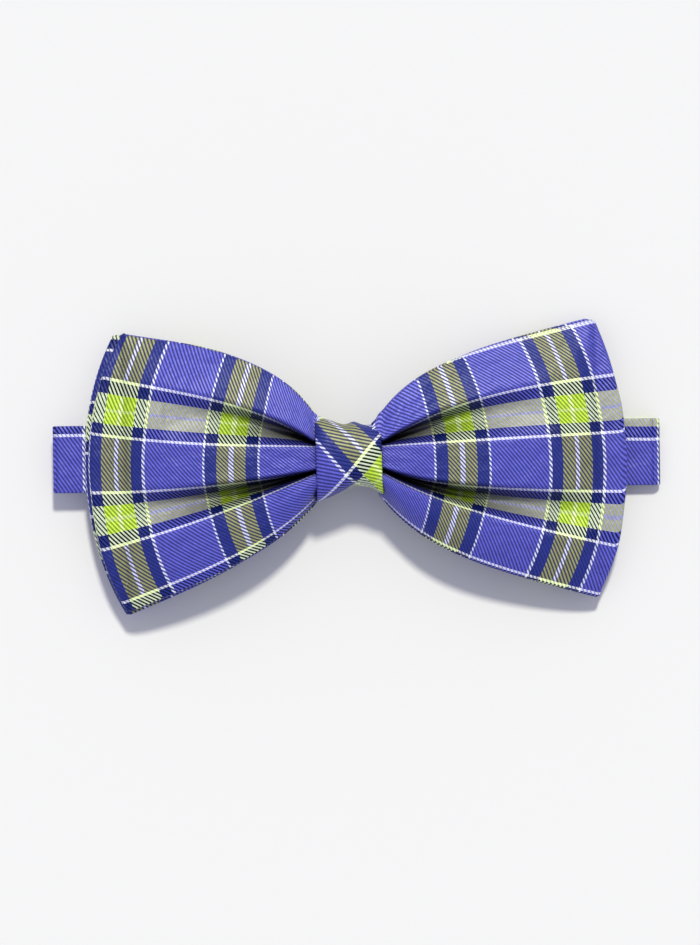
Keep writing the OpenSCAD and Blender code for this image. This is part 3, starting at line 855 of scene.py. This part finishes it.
u = fold_ply("left_fold_1", -67.35, 5.75, 5.05, -1, CENTRE_U, -1)
u = lined_ply("left_run_1", eased([(-67.35, 5.05), (-17, 5.05)]), u, -1, "left_run_1")
u = fold_ply("left_fold_2", -17, 5.05, 4.35, 1, u, -1)
u = lined_ply("left_run_2", eased([(-17, 4.35), (-62, 4.35)]), u, -1, "left_run_2")
u = fold_ply("left_fold_3", -62, 4.35, 3.65, -1, u, -1)
u = lined_ply("left_run_3", eased([(-62, 3.65), (-13, 3.65)]), u, -1, "left_run_3")
u = fold_ply("left_fold_4", -13, 3.65, 2.45, 1, u, -1)
_, u = single_ply("left_run_4_end", [(-13, 2.45), (-14, 2.45), (-15, 2.45)], u, -1, ["left_run_4"])
slide_ply, u = single_ply("slide_ply", eased([(-15, 2.45), (-49, 2.45)]), u, -1, ["left_run_4", "hook_end"])
loop_path = [(-49, 2.45), (-50.5, 2.45)] + half_ring(-52, 2.45, 0.3, -1) + [(-50.5, 0.3), (-49, 0.3)]
_, u = single_ply("hook_end_loop", loop_path, u, -1, ["hook_end"])
tail_ply, u = single_ply("tail_ply", eased([(-49, 0.3), (-33, 0.3)]), u, -1, ["hook_end", "slide"])
loop_path = ([(-33, 0.3), (-28, 0.3), (-24, 0.3)] + half_ring(-21, 0.3, 1.8, 1)
             + [tuple(v) for v in eased([(-21.4, 1.8), (-23, 1.8), (-25.5, STUB_Z), (-33, STUB_Z)], 0.6)])
slide_loop, u = single_ply("slide_loop", loop_path, u, -1, ["slide"])

for name, x, body in (("slide_stitches", -29, "slide"), ("eye_stitches", 34, "right_return")):
    rows = [tube(stitch(x, BAND_Y + i * 1.4, STUB_Z + BAND_PLY / 2, 1.9, 1.2, 0.13), FINE_THREAD)
            for i in range(-4, 5)]
    sewn = joined(name, rows, thread)
    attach(sewn, body)
    stand_in(sewn)


# ---------- the metal ----------

def bevelled(name, body):
    """The stamped metal piece with its edges broken by a small round."""
    import bmesh
    source = frame["nodes"][name]
    mesh = source.data.copy()
    mesh.transform(source.matrix_world)
    bm = bmesh.new()
    bm.from_mesh(mesh)
    bmesh.ops.remove_doubles(bm, verts=bm.verts, dist=1e-6)
    bmesh.ops.dissolve_limit(bm, angle_limit=math.radians(2), verts=bm.verts, edges=bm.edges)
    bm.to_mesh(mesh)
    bm.free()
    mesh.materials.clear()
    mesh.materials.append(nickel)
    obj = bpy.data.objects.new(name + "_metal", mesh)
    bpy.context.scene.collection.objects.link(obj)
    bevel = obj.modifiers.new("edge", "BEVEL")
    bevel.width, bevel.segments, bevel.limit_method = 0.1 * MM, 2, "ANGLE"
    bevel.angle_limit = math.radians(40)
    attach(obj, body)
    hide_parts(name)
    return obj


for metal in ("slide", "hook", "eye"):
    bevelled(metal, metal)


# ---------- camera, light and floor ----------

def make_camera():
    """Straight above the bow, rolled a little, as far off as a long lens."""
    data = bpy.data.cameras.new("camera")
    camera = bpy.data.objects.new("camera", data)
    bpy.context.scene.collection.objects.link(camera)
    height, plane, view_w = 900.0, 9.0, 155.9
    data.sensor_fit = "HORIZONTAL"
    data.sensor_width = 36.0
    data.lens = 36.0 * (height - plane) / view_w
    data.clip_start, data.clip_end = 0.05, 20.0
    camera.location = (-1.63 * MM, -1.35 * MM, height * MM)
    camera.rotation_euler = (0, 0, math.radians(-0.8))
    bpy.context.scene.camera = camera


def make_lights():
    """One broad lamp from beyond the bow's top edge, a little to its right, and an even pale surround."""
    sun = bpy.data.lights.new("key", "SUN")
    sun.energy = 2.26
    sun.angle = math.radians(7)
    sun.color = (1.0, 0.985, 0.86)
    lamp = bpy.data.objects.new("key", sun)
    bpy.context.scene.collection.objects.link(lamp)
    lamp.rotation_euler = (math.radians(-35), math.radians(6), 0)
    world = bpy.data.worlds.new("surround")
    world.use_nodes = True
    back = world.node_tree.nodes["Background"]
    back.inputs[0].default_value = (0.93, 0.95, 1.13, 1)
    back.inputs[1].default_value = 0.47
    bpy.context.scene.world = world


def make_floor():
    """A pale matt paper sweep."""
    material, tree, out = new_material("pale_matt_paper")
    shader = add(tree, "ShaderNodeBsdfPrincipled", {"Base Color": linear("f4f4f4"), "Roughness": 0.9,
                                                    "Specular IOR Level": 0.1})
    tree.links.new(shader.outputs[0], out.inputs[0])
    size = 3000.0
    corners = [(-size, -size, 0), (size, -size, 0), (size, size, 0), (-size, size, 0)]
    floor = piece_from("floor", corners, [[0, 1, 2, 3]], None, material, smooth=False)


make_camera()
make_lights()
make_floor()
bpy.context.scene.view_settings.view_transform = "Standard"

for node_name, node_object in frame["nodes"].items():
    kind = {s["node"]: s["material_slot"] for s in frame["record"]["subparts"]}[node_name]
    finish = {"plaid_twill": twill, "interlining": lining_cloth, "thread": thread, "nickel": nickel}[kind]
    node_object.data.materials.clear()
    node_object.data.materials.append(finish)
